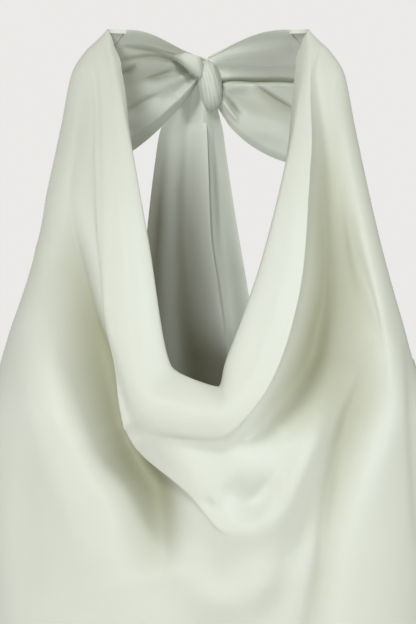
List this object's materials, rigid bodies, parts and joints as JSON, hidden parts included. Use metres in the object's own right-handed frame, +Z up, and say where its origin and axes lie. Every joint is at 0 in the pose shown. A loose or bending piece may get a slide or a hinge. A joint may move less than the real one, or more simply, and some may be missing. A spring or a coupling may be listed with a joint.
{
  "type": "cowl neck maxi dress",
  "caption": "Long sleeveless dress with a draped cowl neckline and an open back, held up by wide neck ties knotted at the nape, in the hollow form that it has when it is worn.",
  "frame": {"origin": "middle of the neck loop, level with the two points where the halter is highest beside the neck", "axes": "+Z up, from the hem to the neck; the cowl faces -Y; +X towards the right side of the picture, which is the wearer's left"},
  "size_m": [0.5074, 0.3151, 1.3903],
  "materials": {
    "satin": "pale grey-green satin with a soft sheen"
  },
  "bodies": {
    "root": {"front": "satin", "back": "satin", "neck_tie_left": "satin", "neck_tie_right": "satin", "knot": "satin", "tie_end_left": "satin", "tie_end_right": "satin"}
  },
  "joints": []
}
